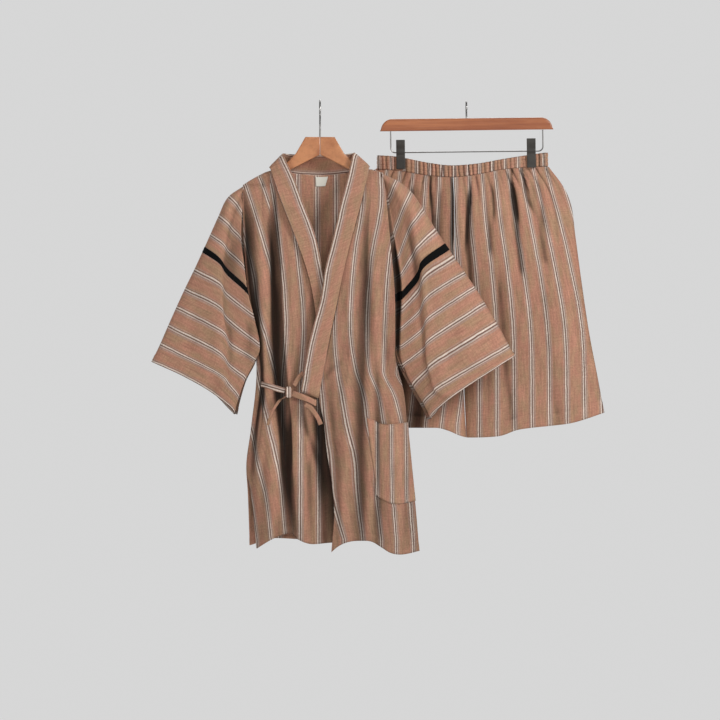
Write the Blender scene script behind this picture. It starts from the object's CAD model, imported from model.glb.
"""Looks of the jinbei set: its cloth, wood, wire and clips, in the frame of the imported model.

The form tables and the functions on them are the same as in the CAD source, in millimetres. Here each
panel is a fine, thin shell with its creases, gathers, hems and stripes. Cloth carries one UV map: u counts
the stripe groups across the cloth, and v runs along the warp in the same unit, about 40 mm.
"""

import math

import bpy
import numpy as np
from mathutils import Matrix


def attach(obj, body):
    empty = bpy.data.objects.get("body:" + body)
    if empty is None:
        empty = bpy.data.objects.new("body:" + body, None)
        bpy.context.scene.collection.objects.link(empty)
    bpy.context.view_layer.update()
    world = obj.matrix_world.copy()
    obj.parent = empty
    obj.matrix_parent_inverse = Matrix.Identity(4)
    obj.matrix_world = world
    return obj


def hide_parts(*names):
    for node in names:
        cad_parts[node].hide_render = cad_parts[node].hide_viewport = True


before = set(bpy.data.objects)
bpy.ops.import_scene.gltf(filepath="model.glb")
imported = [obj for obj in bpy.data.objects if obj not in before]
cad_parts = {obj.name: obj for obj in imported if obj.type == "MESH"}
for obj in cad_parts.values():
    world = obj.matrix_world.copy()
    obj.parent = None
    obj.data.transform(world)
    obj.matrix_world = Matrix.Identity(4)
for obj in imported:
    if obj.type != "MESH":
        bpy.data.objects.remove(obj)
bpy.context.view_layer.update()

MM = 0.001
REPEAT = 40.0  # of the stripes
JACKET_LOW, SHORTS_LOW = -900.0, -640.0  # heights where the hems' ends are measured
SHOULDER_FALL = 110.0  # over this drop a panel comes forward from the shoulder line to its own depth
EDGE_SOFTNESS = 34.0  # how far into a panel its edges' depth reaches
SEWN_REACH = 12.0  # how far from a sewn edge the folds come to their height

# Cloth
CLOTH = 1.5  # thickness of the panels
BAND_CLOTH = 2.2  # thickness of the collar band and of the waistband, which are double
TIE_CLOTH, KNOT_CLOTH = 1.6, 1.2
SEAM = 0.9  # half the distance between two layers that are sewn face to face
LAP = 1.9  # from a panel's middle to the middle of the panel sewn behind its edge

# Jacket hanger
HANGER_THICKNESS = 10.0
JACKET_HANGER_TOP = -73.0

# Shorts and their hanger
SHORTS_X = 299.7  # the clip hanger's hook, from the jacket's
SHORTS_Y = 96.0  # the shorts hang this far behind the jacket
SHORTS_HANGER_TILT = math.radians(0.66)
BAR_LENGTH, BAR_HEIGHT, BAR_THICKNESS = 356.0, 25.0, 12.0
BAR_TOP = -32.0
CLIP_WIDTH, CLIP_HEIGHT, CLIP_JAW = 18.0, 60.0, 3.5
CLIP_PLACES = (-136.0, 132.0)  # the left and the right clip, from the hook
CLIP_TOP = -75.0

# The side edges of the jacket's fronts and back: height z, place x and depth y (negative towards the viewer)
LEFT_EDGES = (
    # z, front x, y, back x, y: down the armhole, then the side seam, then the edges of the slit
    (-171, -157, -0.9, -157, 0.9),
    (-181, -157, -9, -157, 9),
    (-247, -157, -11, -157, 11),
    (-304, -154, -9, -154, 11),
    (-392, -147, -8, -147, 9),
    (-451, -139, -6, -139, 6),
    (-506, -132, -3.2, -132, 3.2),
    (-549, -129, -0.9, -129, 0.9),
    (-672, -141, -0.9, -141, 0.9),
    (-747, -150, -0.9, -150, 0.9),
    (-796, -141, -6, -147, 2),
    (-850, -135, -11, -145, 4),
    (-912, -129, -15, -143, 6),
)
RIGHT_EDGES = (
    (-146, 129, -0.9, 129, 0.9),
    (-156, 130, -9, 130, 9),
    (-198, 135, -18, 135, 12),
    (-296, 144, -25, 144, 12),
    (-390, 152, -25, 152, 9),
    (-470, 153, -15, 153, 6),
    (-512, 153, -3.2, 153, 3.2),
    (-549, 159, -0.9, 159, 0.9),
    (-590, 170, -0.9, 170, 0.9),
    (-656, 177, -0.9, 177, 0.9),
    (-766, 188, -0.9, 188, 0.9),
    (-833, 195, -7, 192, 4),
    (-917, 202, -12, 196, 8),
)

# The front panels' inner edges: down the collar seam, then the front edge below the collar
UNDER_INNER_EDGE = (
    # z, x
    (-142, -100),
    (-202, -80),
    (-282, -49),
    (-344, -28),
    (-407, -13),
    (-498, -4),
    (-604, 4),
    (-712, 22),
    (-814, 43),
    (-906, 61),
)
OVER_INNER_EDGE = (
    (-140, 99),
    (-200, 87),
    (-284, 64),
    (-345, 49),
    (-406, 37),
    (-498, 18),
    (-602, -2),
    (-654, 8),
    (-713, 14),
    (-777, 24),
    (-840, 29),
    (-899, 25),
    (-921, 23),
)

# The tops of the panels: x, z, y. The back's is the shoulders and the neck between them.
UNDER_SHOULDER = ((-157, -171, -0.9), (-139, -160, -0.9), (-100, -142, -0.9))
OVER_SHOULDER = ((99, -140, -0.9), (129, -146, -0.9))
BACK_TOP = (
    (-157, -171, 0.9),
    (-139, -160, 0.9),
    (-104, -143, 0.9),
    (-96, -142, 11),
    (-84, -143, 22.5),
    (-44, -148, 31),
    (-2, -151, 33),
    (40, -148, 31),
    (80, -142, 22.5),
    (94, -140, 11),
    (102, -139.5, 0.9),
    (129, -146, 0.9),
)
# The hems: x, z
UNDER_HEM = (
    (-129, -912),
    (-104, -897),
    (-80, -886),
    (-58, -881),
    (-44, -893),
    (-15, -903),
    (24, -900),
    (61, -898),
)
OVER_HEM = (
    (23, -921),
    (37, -908),
    (55, -899),
    (82, -896),
    (106, -898),
    (126, -910),
    (142, -920),
    (163, -924),
    (202, -917),
)
BACK_HEM = ((-143, -906), (-90, -892), (0, -897), (90, -893), (150, -903), (196, -912))

# Depth of the middle of each panel at a height: z, y
UNDER_DEPTH = ((-140, -30), (-320, -34), (-600, -37), (-920, -40))
OVER_DEPTH = ((-140, -32), (-240, -42), (-330, -51), (-600, -55), (-920, -57))
BACK_DEPTH = ((-140, 30), (-300, 38), (-600, 34), (-920, 36))

# Folds: a ridge (rise towards the viewer) or a trough (negative rise) along a bowed line down the cloth
UNDER_FOLDS = (
    # z_top, x_top, x_mid, z_low, x_low, rise, half_width
    (-165, -102, -88, -940, -45, -20, 15),
    (-430, -70, -66, -960, -20, 5, 17),
    (-190, -128, -112, -620, -116, 6, 12),
    (-560, -119, -128, -800, -146, -7, 10),
    (-600, -8, 4, -960, 14, -9, 14),
    (-620, -104, -98, -960, -108, 5, 13),
)
OVER_FOLDS = (
    (-165, 104, 84, -960, 86, -10, 15),
    (-420, 46, 52, -960, 46, 4, 13),
    (-480, 122, 116, -940, 118, -6, 11),
    (-560, 150, 160, -960, 158, 6, 17),
    (-300, 112, 118, -620, 138, 4, 11),
)
BACK_FOLDS = (
    (-190, -96, -84, -960, -70, -11, 19),
    (-420, -30, -24, -960, -18, -7, 17),
    (-230, 66, 58, -960, 66, -10, 18),
    (-500, 118, 124, -960, 136, -8, 18),
)

# The collar band: one row a section, from the lower end hidden in the wrap, round the neck, to the lower
# end that shows. seam is the edge sewn on the panels, free the other one.
COLLAR_ROWS = (
    # seam x, y, z, free x, y, z
    (4, -40.0, -602, 38, -40.5, -594),
    (-3, -40.0, -498, 29, -40.0, -492),
    (-12, -39.0, -410, 17, -38.5, -404),
    (-26, -38.0, -348, 5, -37.0, -343),
    (-47, -37.0, -286, -9, -35.5, -277),
    (-78, -32.5, -206, -39, -31.5, -196),
    (-92, -24.5, -166, -53, -26.0, -158),
    (-101, -10.0, -138, -72, -14.0, -116),
    (-103, 1.0, -136, -76, -2.0, -109),
    (-98, 14.0, -139, -73, 10.0, -107),
    (-84, 26.0, -146, -60, 20.0, -108),
    (-44, 33.5, -152, -34, 28.0, -109),
    (-2, 35.5, -154, -2, 30.5, -109.5),
    (40, 33.5, -152, 32, 28.0, -109),
    (80, 26.0, -145, 58, 20.0, -107),
    (96, 14.0, -137, 68, 10.0, -106),
    (101, 1.0, -134, 70, -2.0, -106),
    (100, -10.0, -137, 66, -14.0, -112),
    (94, -27.0, -166, 56, -28.0, -158),
    (84, -37.5, -208, 45, -36.5, -200),
    (62, -47.0, -290, 26, -46.5, -282),
    (48, -53.0, -349, 11, -52.5, -341),
    (35, -55.5, -412, 1, -55.0, -404),
    (16, -57.5, -504, -22, -57.5, -494),
    (-3, -58.5, -606, -39, -59.0, -593),
)

# The sleeves: one row a section across the sleeve, parallel to the cuff. x, z of five stations: the
# outer fold, the start and the end of the bend that hangs from the hanger's tip, the brim that shows
# beside the body, and the armhole seam (the underarm seam from the row where they are level).
LEFT_SLEEVE_ROWS = (
    # fold, bend, settle, brim, seam
    ((-160, -173), (-160, -176), (-160, -180), (-160, -184), (-159, -188)),
    ((-188, -196), (-177, -206), (-169, -216), (-161, -230), (-158, -243)),
    ((-207, -236), (-192, -248), (-180, -261), (-159, -284), (-156, -298)),
    ((-224, -274), (-200, -291), (-186, -308), (-151, -341), (-152, -349)),
    ((-237, -303), (-207, -324), (-188, -348), (-143, -390), (-148, -396)),
    ((-257, -346), (-206, -373), (-188, -396), (-131, -438), (-142, -437)),
    ((-276, -385), (-206, -420), (-188, -446), (-120, -498), (-134, -494)),
    ((-293, -422), (-204, -468), (-180, -498), (-131, -529), (-134.5, -529)),
    ((-310, -460), (-210, -511), (-184, -541), (-153, -567), (-154, -569)),
    ((-326, -497), (-210, -555), (-186, -579), (-166, -605), (-166, -608)),
    ((-343, -532), (-279, -561), (-220, -595), (-176, -634), (-173, -639)),
)
LEFT_UNDERARM_ROW = 7
LEFT_TAPE = (3.83, 4.14)  # the tape's two edges, in rows
LEFT_DEPTHS = ((0, -26, -20, -23), (0, 16, 20, 17))  # front and back y of the fold, bend, settle and brim

RIGHT_SLEEVE_ROWS = (
    ((131, -148), (131.5, -152), (132, -156), (132.5, -160), (133, -164)),
    ((159, -163), (153, -176), (147, -191), (141, -204), (137, -212)),
    ((188, -188), (177, -211), (165, -237), (151, -272), (145.5, -292)),
    ((213, -225), (196, -247), (177, -275), (158, -316), (149, -333)),
    ((237, -264), (206, -292), (186, -317), (162, -350), (152.5, -365)),
    ((259, -297), (212, -330), (198, -357), (165, -392), (154, -404)),
    ((296, -351), (224, -396), (199, -432), (165, -461), (154.5, -473)),
    ((321, -388), (226, -451), (204, -480), (167, -508), (154.5, -512)),
    ((343, -424), (226, -499), (210, -520), (174, -548), (171, -553)),
    ((366, -463), (239, -541), (220, -560), (195, -588), (192, -592)),
    ((387, -502), (253, -580), (233, -597), (213, -618), (210, -622)),
    ((398, -520), (292, -588), (257, -614), (226, -645), (223, -649)),
)
RIGHT_UNDERARM_ROW = 8
RIGHT_TAPE = (4.83, 5.14)
RIGHT_DEPTHS = ((0, -32, -22, -12), (0, 16, 19, 15))

SEAM_SHIFT = 1.5  # the sleeve's edge lies this far outside the body's edge
TUCK = 3.0  # how far outside the seam the cloth turns in to it

# The patch pocket, as fractions down and across the over front
POCKET_TOP, POCKET_FOOT, POCKET_EDGE = 0.66, 0.868, 0.53

# Ties: the middle line and the half width across it, in x, y, z
SIDE_TIE_PATH = ((-119, -26, -577), (-104, -43, -581), (-88, -49, -586), (-71.5, -52.5, -590.5))
OVER_TIE_PATH = ((-53, -50.5, -580), (-48, -49.5, -572), (-41, -48.2, -562), (-33, -47.6, -554))
LOOP_PATH = (
    (-55.5, -58, -596),
    (-44, -63, -600),
    (-28, -67, -606),
    (-13, -67.5, -613),
    (-8.5, -65.5, -615),
    (-13, -62.8, -614),
    (-28, -62.2, -607),
    (-42, -60.9, -601),
)
RIGHT_TAIL_PATH = ((-30, -65.2, -618), (-18, -64.5, -626), (-6, -63.0, -642), (2, -61.8, -659))
LEFT_TAIL_PATH = (
    (-69, -51, -602),
    (-82, -46, -610),
    (-94, -44, -628),
    (-101, -43.5, -644),
    (-106, -43, -661),
)
TIE_HALF_WIDTH, THIN_HALF_WIDTH = 5.7, 2.6
KNOT_CENTRE, KNOT_SIZE = (-63.2, -54.5, -593.5), (12.5, 11.0, 22.0)

# Label, inside the back of the neck, as fractions across and down the back
LABEL_ACROSS, LABEL_DOWN, LABEL_SLANT = (0.514, 0.605), (0.004, 0.03), 7.0
LABEL_THICKNESS, LABEL_OUT = 0.8, 2.6

# Shorts, about their own middle plane
SHORTS_WAIST = (
    # x, z of the band's top, z of its bottom
    (114, -108, -137),
    (157, -111, -139),
    (218, -123, -149),
    (270, -129, -153),
    (324, -125, -147),
    (369, -117, -138),
    (418, -109, -133),
    (459, -103, -131),
)
BAND_MIDDLE, BAND_HALF, BAND_DEPTH, BAND_PINCH = 291.5, 173.5, 9.0, 5.0
SHORTS_HALF_GAP = 0.9  # from the centre seam to each panel's edge
SHORTS_CENTRE_SEAM = (
    # z, x, y
    (-135, 272, -9),
    (-200, 275, -22),
    (-304, 277, -22),
    (-400, 284, -17),
    (-440, 289, -8),
    (-462, 291, -1.2),
    (-594, 295, -1.2),
    (-690, 300, -1.2),
)
SHORTS_RIGHT_SEAM = (
    (-131, 468, -0.9),
    (-175, 500, -0.9),
    (-209, 514, -0.9),
    (-273, 523, -0.9),
    (-377, 537, -0.9),
    (-476, 552, -0.9),
    (-565, 569, -0.9),
    (-640, 583, -0.9),
)
SHORTS_LEFT_SEAM = (
    (-131, 115, -0.9),
    (-175, 86, -0.9),
    (-209, 74, -0.9),
    (-273, 66, -0.9),
    (-377, 53, -0.9),
    (-476, 38, -0.9),
    (-565, 21, -0.9),
    (-640, 6, -0.9),
)
SHORTS_HEM = (
    (6, -636),
    (51, -649),
    (112, -661),
    (180, -667),
    (236, -667),
    (261, -673),
    (284, -683),
    (302, -687),
    (342, -686),
    (370, -683),
    (401, -672),
    (432, -667),
    (471, -663),
    (516, -657),
    (583, -636),
)
SHORTS_DEPTH = ((-130, -10), (-190, -24), (-330, -27), (-690, -25))
SHORTS_RIGHT_FOLDS = (
    (-140, 300, 304, -420, 310, -7, 9),
    (-140, 342, 345, -330, 352, -4, 9),
    (-140, 392, 402, -380, 418, -6, 10),
    (-135, 432, 448, -360, 470, -5, 11),
    (-300, 362, 380, -720, 402, -5, 15),
    (-330, 450, 470, -720, 500, -4, 17),
)
SHORTS_LEFT_FOLDS = (
    (-140, 246, 241, -400, 232, -6, 10),
    (-140, 200, 190, -360, 176, -6, 10),
    (-140, 152, 140, -340, 124, -5, 10),
    (-300, 226, 212, -720, 196, -5, 15),
    (-330, 130, 110, -720, 80, -4, 17),
)

# The jacket hanger's right arm and a clip's jaw, as in the CAD source
JACKET_HANGER_OUTLINE = (
    (0.25, JACKET_HANGER_TOP),
    (30, JACKET_HANGER_TOP),
    (49, -106),
    (63, -121),
    (96, -150),
    (137, -178),
    (158, -188),
    (176, -199),
    (181, -208),
    (177, -215),
    (148, -200),
    (100, -174),
    (57, -138),
    (0.25, -109),
)
JAW_ROWS = (
    # z below the clip's top, y of the plate's middle
    (0.0, 8.5),
    (9.0, 8.0),
    (20.0, 5.0),
    (28.0, 6.5),
    (33.0, 10.0),
    (CLIP_HEIGHT, 9.4),
)

# How strongly each sleeve's front turns in beside the body: row, amount
LEFT_VALLEY = ((0, 0.0), (1.5, 0.1), (3, 0.5), (4.5, 0.7), (6, 0.5), (7, 0.1), (10, 0.0))
RIGHT_VALLEY = ((0, 0.0), (1.5, 0.15), (3, 0.8), (4.5, 1.0), (6, 0.8), (7.5, 0.3), (8.5, 0.0))

# Deep shade inside folds: height z, place x of the sharp side, width of the soft side, amount
UNDER_DEEPS = (
    (
        (-160, -92, 8, 0.0),
        (-200, -90, 10, 0.4),
        (-250, -86, 15, 0.7),
        (-330, -80, 20, 0.85),
        (-446, -76, 24, 0.95),
        (-580, -66, 24, 1.0),
        (-661, -60, 22, 0.9),
        (-740, -57, 20, 0.65),
        (-814, -52, 26, 0.3),
        (-910, -48, 22, 0.15),
    ),
    (
        (-590, 8, 14, 0.2),
        (-640, 12, 20, 0.9),
        (-702, 20, 24, 1.0),
        (-760, 25, 26, 1.0),
        (-840, 32, 20, 0.9),
        (-905, 36, 12, 0.8),
    ),
    (
        (-170, -157, -8, 0.2),
        (-250, -151, -20, 0.85),
        (-330, -147, -22, 1.0),
        (-420, -137, -20, 1.0),
        (-500, -125, -16, 0.9),
        (-560, -120, -12, 0.85),
        (-640, -128, -10, 0.5),
        (-720, -143, -8, 0.0),
    ),
    (
        (-560, -118, -8, 0.3),
        (-577, -118, -9, 0.85),
        (-640, -116, -8, 0.7),
        (-700, -122, -8, 0.5),
        (-770, -136, -8, 0.0),
    ),
    ((-360, -16, 10, 0.0), (-420, -8, 16, 0.5), (-500, 0, 20, 0.5), (-580, 0, 24, 0.3), (-620, 0, 24, 0.0)),
    ((-620, -70, 44, 0.0), (-700, -66, 44, 0.12), (-910, -56, 44, 0.12)),
    ((-140, 400, 1500, 0.04), (-420, 400, 1500, 0.1), (-600, 400, 1500, 0.2), (-910, 400, 1500, 0.25)),
)
OVER_DEEPS = (
    (
        (-180, 104, 14, 0.0),
        (-260, 98, 18, 0.3),
        (-500, 90, 22, 0.22),
        (-740, 84, 28, 0.12),
        (-905, 92, 28, 0.1),
    ),
    ((-430, 66, 16, 0.0), (-520, 58, 18, 0.2), (-650, 52, 20, 0.12), (-905, 52, 20, 0.08)),
    ((-560, 150, 64, 0.0), (-660, 140, 56, 0.12), (-800, 138, 50, 0.12), (-905, 130, 40, 0.08)),
    ((-140, 400, 1500, 0.04), (-260, 400, 1500, 0.08), (-420, 400, 1500, 0.2), (-905, 400, 1500, 0.27)),
)
# How much of the relief's own shade each panel takes, by height
UNDER_CONTRAST = ((-100, 1.0), (-640, 1.0), (-760, 0.6), (-840, 0.35), (-920, 0.25))
OVER_CONTRAST = ((-100, 0.8), (-420, 0.6), (-600, 0.4), (-920, 0.35))
BACK_CONTRAST = ((-100, 0.8), (-920, 0.8))
BACK_DEEPS = (
    ((-180, -92, 16, 0.0), (-300, -84, 20, 0.35), (-620, -80, 22, 0.5), (-900, -70, 24, 0.4)),
    ((-220, 70, -16, 0.0), (-340, 64, -20, 0.4), (-640, 62, -22, 0.45), (-900, 68, -24, 0.35)),
    ((-500, 124, -14, 0.0), (-640, 128, -18, 0.4), (-900, 138, -20, 0.4)),
    ((-140, 60, 160, -0.7), (-330, 50, 140, -0.7), (-440, 20, 80, 0.0)),
)
# General shade of each sleeve, as the light falls
SLEEVE_TONES = {"left": 0.12, "right": 0.02}
SHORTS_LEFT_DEEPS = (
    ((-440, 150, -40, 0.0), (-520, 150, -50, 0.9), (-600, 150, -62, 0.95), (-670, 150, -80, 0.75)),
    ((-152, 274, 9, 0.8), (-240, 273, 10, 0.95), (-300, 272, 8, 0.7), (-350, 274, 6, 0.0)),
    ((-150, 226, 7, 0.7), (-220, 230, 8, 0.6), (-290, 234, 6, 0.0)),
)
SHORTS_RIGHT_DEEPS = (
    (
        (-158, 312, 6, 0.4),
        (-210, 308, 7, 0.55),
        (-270, 302, 8, 0.3),
        (-340, 296, 10, 0.1),
        (-480, 300, 12, 0.0),
    ),
    ((-150, 394, 7, 0.8), (-200, 403, 8, 0.55), (-256, 409, 8, 0.0)),
    ((-140, 415, 7, 0.8), (-190, 431, 8, 0.5), (-236, 441, 8, 0.0)),
)

# Studio
BACKDROP = (0.672, 0.672, 0.672)
CAMERA_DISTANCE = 18.0
VIEW_WIDTH = 1.469
VIEW_CENTRE = (0.0816, -0.528)


def smooth_step(x):
    x = np.clip(x, 0.0, 1.0)
    return x * x * (3.0 - 2.0 * x)


def curve_through(knots, values, at):
    """Values at the places `at`, on a smooth curve through (knots, values); it holds level past the ends."""
    knots, values = np.asarray(knots, float), np.asarray(values, float)
    if knots[0] > knots[-1]:
        knots, values = knots[::-1], values[::-1]
    steps = np.diff(values) / np.diff(knots)
    slopes = np.zeros_like(values)
    same_way = steps[1:] * steps[:-1] > 0
    slopes[1:-1] = np.where(same_way, 0.5 * (steps[1:] + steps[:-1]), 0.0)
    slopes[0], slopes[-1] = steps[0], steps[-1]
    i = np.clip(np.searchsorted(knots, at) - 1, 0, len(knots) - 2)
    span = knots[i + 1] - knots[i]
    f = np.clip((at - knots[i]) / span, 0.0, 1.0)
    start, end = values[i], values[i + 1]
    climb = end - start
    lift = f * (1 - f) * ((1 - f) * (slopes[i] * span - climb) - f * (slopes[i + 1] * span - climb))
    return start + climb * f + lift


def column(table, index, at):
    """A table's column at the places `at`, which its first column holds, such as heights."""
    return curve_through([row[0] for row in table], [row[index] for row in table], at)


def front_and_back(edges):
    """The front's edge and the back's edge, from a table of both."""
    return tuple(row[:3] for row in edges), tuple(row[:1] + row[3:] for row in edges)


def bowed_line(f, start, middle, end):
    """A place at the fraction f of a bowed line through three places."""
    return start * (1 - f) * (1 - 2 * f) + 4 * middle * f * (1 - f) + end * f * (2 * f - 1)


def fold_rise(folds, x, z):
    """How far the folds bring the cloth towards the viewer at x, z."""
    rise = np.zeros_like(x)
    for z_top, x_top, x_mid, z_low, x_low, height, half_width in folds:
        f = (z - z_top) / (z_low - z_top)
        line = bowed_line(f, x_top, x_mid, x_low)
        fade = smooth_step(f / 0.22) * smooth_step((1 - f) / 0.2)
        rise = rise + height * fade * np.exp(-(((x - line) / half_width) ** 2))
    return rise


def panel_points(spec, across, down):
    """Points of a panel, for the fractions `across` it and `down` it. Returns rows x columns x 3."""
    left_x, right_x = column(spec["left"], 1, spec["low"]), column(spec["right"], 1, spec["low"])
    top_left, top_right = spec["top"][0][0], spec["top"][-1][0]
    s, t = np.meshgrid(across, down)
    along_top = top_left + (top_right - top_left) * s
    top, ridge = column(spec["top"], 1, along_top), column(spec["top"], 2, along_top)
    hem = column(spec["hem"], 1, left_x + (right_x - left_x) * s)
    z = top + (hem - top) * t
    left, right = column(spec["left"], 1, z), column(spec["right"], 1, z)
    x = left + (right - left) * s
    from_left, from_right = x - left, right - x
    drop = np.sqrt(1.0 - np.exp(-np.maximum(top - z, 0.0) / SHOULDER_FALL))
    middle = ridge + (column(spec["depth"], 1, z) - ridge) * drop
    rise = fold_rise(spec["folds"], x, z) * smooth_step((top - z) / 40.0)
    y = middle - rise * spec["sewn"](from_left, from_right)
    for edge, distance in (("left", from_left), ("right", from_right)):
        if len(spec[edge][0]) > 2:
            y = y + (column(spec[edge], 2, z) - middle) * np.exp(-distance / EDGE_SOFTNESS)
    return np.stack([x, y, z], axis=-1)


def away_from(distance):
    """0 at a sewn edge, rising to 1 away from it."""
    return 1 - np.exp(-distance / SEWN_REACH)


def sewn_both(from_left, from_right):
    return away_from(from_left) * away_from(from_right)


def sewn_left(from_left, from_right):
    return away_from(from_left)


def sewn_right(from_left, from_right):
    return away_from(from_right)


def panel(top, hem, left, right, depth, folds, side=-1, sewn=sewn_both, low=JACKET_LOW):
    """What a panel is made from: its edges, its depth and its folds. Its face looks to `side` in y."""
    shape = dict(top=top, hem=hem, left=left, right=right, depth=depth, folds=folds)
    return dict(shape, side=side, sewn=sewn, low=low)


def grid_faces(rows, columns, closed=False):
    """Quads of a grid of points; a closed one joins its last column to its first."""
    faces = []
    for r in range(rows - 1):
        for c in range(columns if closed else columns - 1):
            d = (c + 1) % columns
            faces.append((r * columns + c, (r + 1) * columns + c, (r + 1) * columns + d, r * columns + d))
    return faces


def sleeve_points(rows, front_depths, back_depths, front_edge, back_edge, underarm_row, at, places):
    """A sleeve as one folded sheet: from its front seam over the outer fold to its back seam, at rows `at`.
    `places` run from the fold, 0, to the seam, 5."""
    table = np.array(rows, float)
    outward = np.sign(table[-1, 0, 0])
    numbers = np.arange(len(rows))
    at = np.asarray(at, float)
    fold, bend, settle, brim, seam = (
        np.stack([curve_through(numbers, table[:, station, axis], at) for axis in (0, 1)], axis=-1)
        for station in range(5)
    )
    seam[:, 0] += outward * SEAM_SHIFT
    tuck = np.stack([seam[:, 0] + outward * TUCK, 0.5 * (brim[:, 1] + seam[:, 1])], axis=-1)
    spread = 0.35 + 0.65 * smooth_step(at / 1.6)
    low_brim = 1.0 - 0.6 * smooth_step((at - underarm_row + 1.2) / 1.6)
    layers = []
    for side, depths, edge in ((-1, front_depths, front_edge), (1, back_depths, back_edge)):
        last_brim = brim if side < 0 else 0.7 * seam + 0.3 * settle
        last_tuck = tuck if side < 0 else 0.87 * seam + 0.13 * settle
        seam_y = np.where(at > underarm_row, side * (SEAM + 0.25), column(edge, 2, seam[:, 1]) - side * LAP)
        brim_y = depths[3] * spread * low_brim
        tuck_y = 0.35 * seam_y + 0.65 * brim_y
        stations = (fold, bend, settle, last_brim, last_tuck, seam)
        x, z = (np.stack([station[:, axis] for station in stations], axis=1) for axis in (0, 1))
        y = np.stack([*(depth * spread for depth in depths[:3]), brim_y, tuck_y, seam_y], axis=1)
        layer = []
        for place in places:
            axes = [[curve_through(range(6), row, place) for row in axis] for axis in (x, y, z)]
            at_place = np.stack(axes, axis=-1)
            if place <= 1:
                at_place[:, 1] = y[:, 1] * math.sqrt(1 - (1 - place) ** 2)
            layer.append(at_place)
        layers.append(layer)
    front, back = layers
    return np.stack(front[::-1] + back[1:], axis=1)


def arc(centre, radius, start, end, steps):
    """Points in a plane on an arc, from the angle start to end in degrees."""
    angles = np.radians(np.linspace(start, end, steps))
    return [(centre[0] + radius * math.cos(a), centre[1] + radius * math.sin(a)) for a in angles]


def band_outline(x):
    """Half the depth of the waistband at x: round at its ends, and pinched between each clip's jaws."""
    depth = BAND_DEPTH * np.sqrt(np.maximum(1.0 - ((x - BAND_MIDDLE) / BAND_HALF) ** 8, 0.0))
    for place in CLIP_PLACES:
        pinch = np.exp(-(((x - SHORTS_X - place) / CLIP_WIDTH) ** 4)) * depth / BAND_DEPTH
        depth = depth - (BAND_DEPTH - BAND_PINCH) * pinch
    return depth


def shorts_panel(side, back):
    """One of the four leg panels: a back panel is a front one turned about the shorts' middle plane."""
    turn = -1.0 if back else 1.0

    def turned(table, shift=0.0):
        return tuple((z, x + shift, y * turn) for z, x, y in table)

    if side == "right":
        folds = SHORTS_RIGHT_FOLDS
        left, right = turned(SHORTS_CENTRE_SEAM, SHORTS_HALF_GAP), turned(SHORTS_RIGHT_SEAM)
    else:
        folds = SHORTS_LEFT_FOLDS
        left, right = turned(SHORTS_LEFT_SEAM), turned(SHORTS_CENTRE_SEAM, -SHORTS_HALF_GAP)
    depth = tuple((z, y * turn) for z, y in SHORTS_DEPTH)
    folds = tuple(row[:5] + (row[5] * turn, row[6]) for row in folds)
    xs = np.linspace(left[0][1], right[0][1], 8)
    top = tuple((x, z - 1.0, -turn * SEAM) for x, z in zip(xs, column(SHORTS_WAIST, 2, xs)))
    return panel(top, SHORTS_HEM, left, right, depth, folds, side=-turn, low=SHORTS_LOW)


def meet_band(points, side):
    """Brings a leg panel's top edge to the waistband, so that the gathers start at the band's own depth."""
    hold = np.exp(-(points[:1, :, 2] - points[..., 2]) / 22.0)
    band = side * np.maximum(band_outline(points[..., 0]), SEAM)
    points[..., 1] = points[..., 1] * (1 - hold) + band * hold
    return points


LEFT_FRONT_EDGE, LEFT_BACK_EDGE = front_and_back(LEFT_EDGES)
RIGHT_FRONT_EDGE, RIGHT_BACK_EDGE = front_and_back(RIGHT_EDGES)
JACKET_UNDER = panel(
    UNDER_SHOULDER, UNDER_HEM, LEFT_FRONT_EDGE, UNDER_INNER_EDGE, UNDER_DEPTH, UNDER_FOLDS, sewn=sewn_left
)
JACKET_OVER = panel(
    OVER_SHOULDER, OVER_HEM, OVER_INNER_EDGE, RIGHT_FRONT_EDGE, OVER_DEPTH, OVER_FOLDS, sewn=sewn_right
)
JACKET_BACK = panel(BACK_TOP, BACK_HEM, LEFT_BACK_EDGE, RIGHT_BACK_EDGE, BACK_DEPTH, BACK_FOLDS, side=1)


RELIEF_REACH, RELIEF_DEPTH = 9.0, 3.2  # how wide a valley counts as one, and how deep a dark one is

# Stripes on a panel: at a height z, the place x of one stripe group and the pitch to the next
UNDER_LEFT_STRIPES = (
    # z, x, pitch: left of the deep fold
    (-140, -235, 35),
    (-180, -218, 35),
    (-345, -174, 37),
    (-422, -164, 38),
    (-518, -136, 37),
    (-612, -115, 37),
    (-759, -84, 36),
    (-802, -78, 32),
    (-900, -69, 29),
)
UNDER_RIGHT_STRIPES = (
    (-140, -72, 34),
    (-180, -63, 34),
    (-283, -49, 33),
    (-467, -33, 35),
    (-580, -39, 36),
    (-700, -39, 37),
    (-900, -39, 37),
)
OVER_STRIPES = (
    # z, then the places of five groups that follow one another
    (-140, 10, 48, 86, 124, 162),
    (-192, 12, 50, 88, 126, 164),
    (-320, 8, 38, 70, 106, 142),
    (-457, 0, 30, 62, 96, 132),
    (-549, 1, 36, 74, 101, 129),
    (-600, 5, 45, 90, 120, 151),
    (-663, 11, 56, 99, 131, 166),
    (-726, 20, 71, 114, 146, 180),
    (-802, 26, 77, 116, 149, 184),
    (-893, 50, 88, 126, 156, 190),
)
POCKET_STRIPES = ((-640, 116, 29.4), (-820, 118, 29.4))
BACK_STRIPES = ((-140, -6, 39), (-900, -4, 39))
SHORTS_RIGHT_STRIPES = (
    (-112, 328, 26),
    (-151, 332.5, 27),
    (-237, 338.6, 30.4),
    (-347, 352, 32.8),
    (-457, 361, 35),
    (-661, 363, 36),
)
SHORTS_LEFT_STRIPES = (
    (-112, 298, 26),
    (-175, 300, 28),
    (-269, 302, 31),
    (-363, 308, 34),
    (-475, 305, 34),
    (-661, 282, 33),
)
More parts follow.
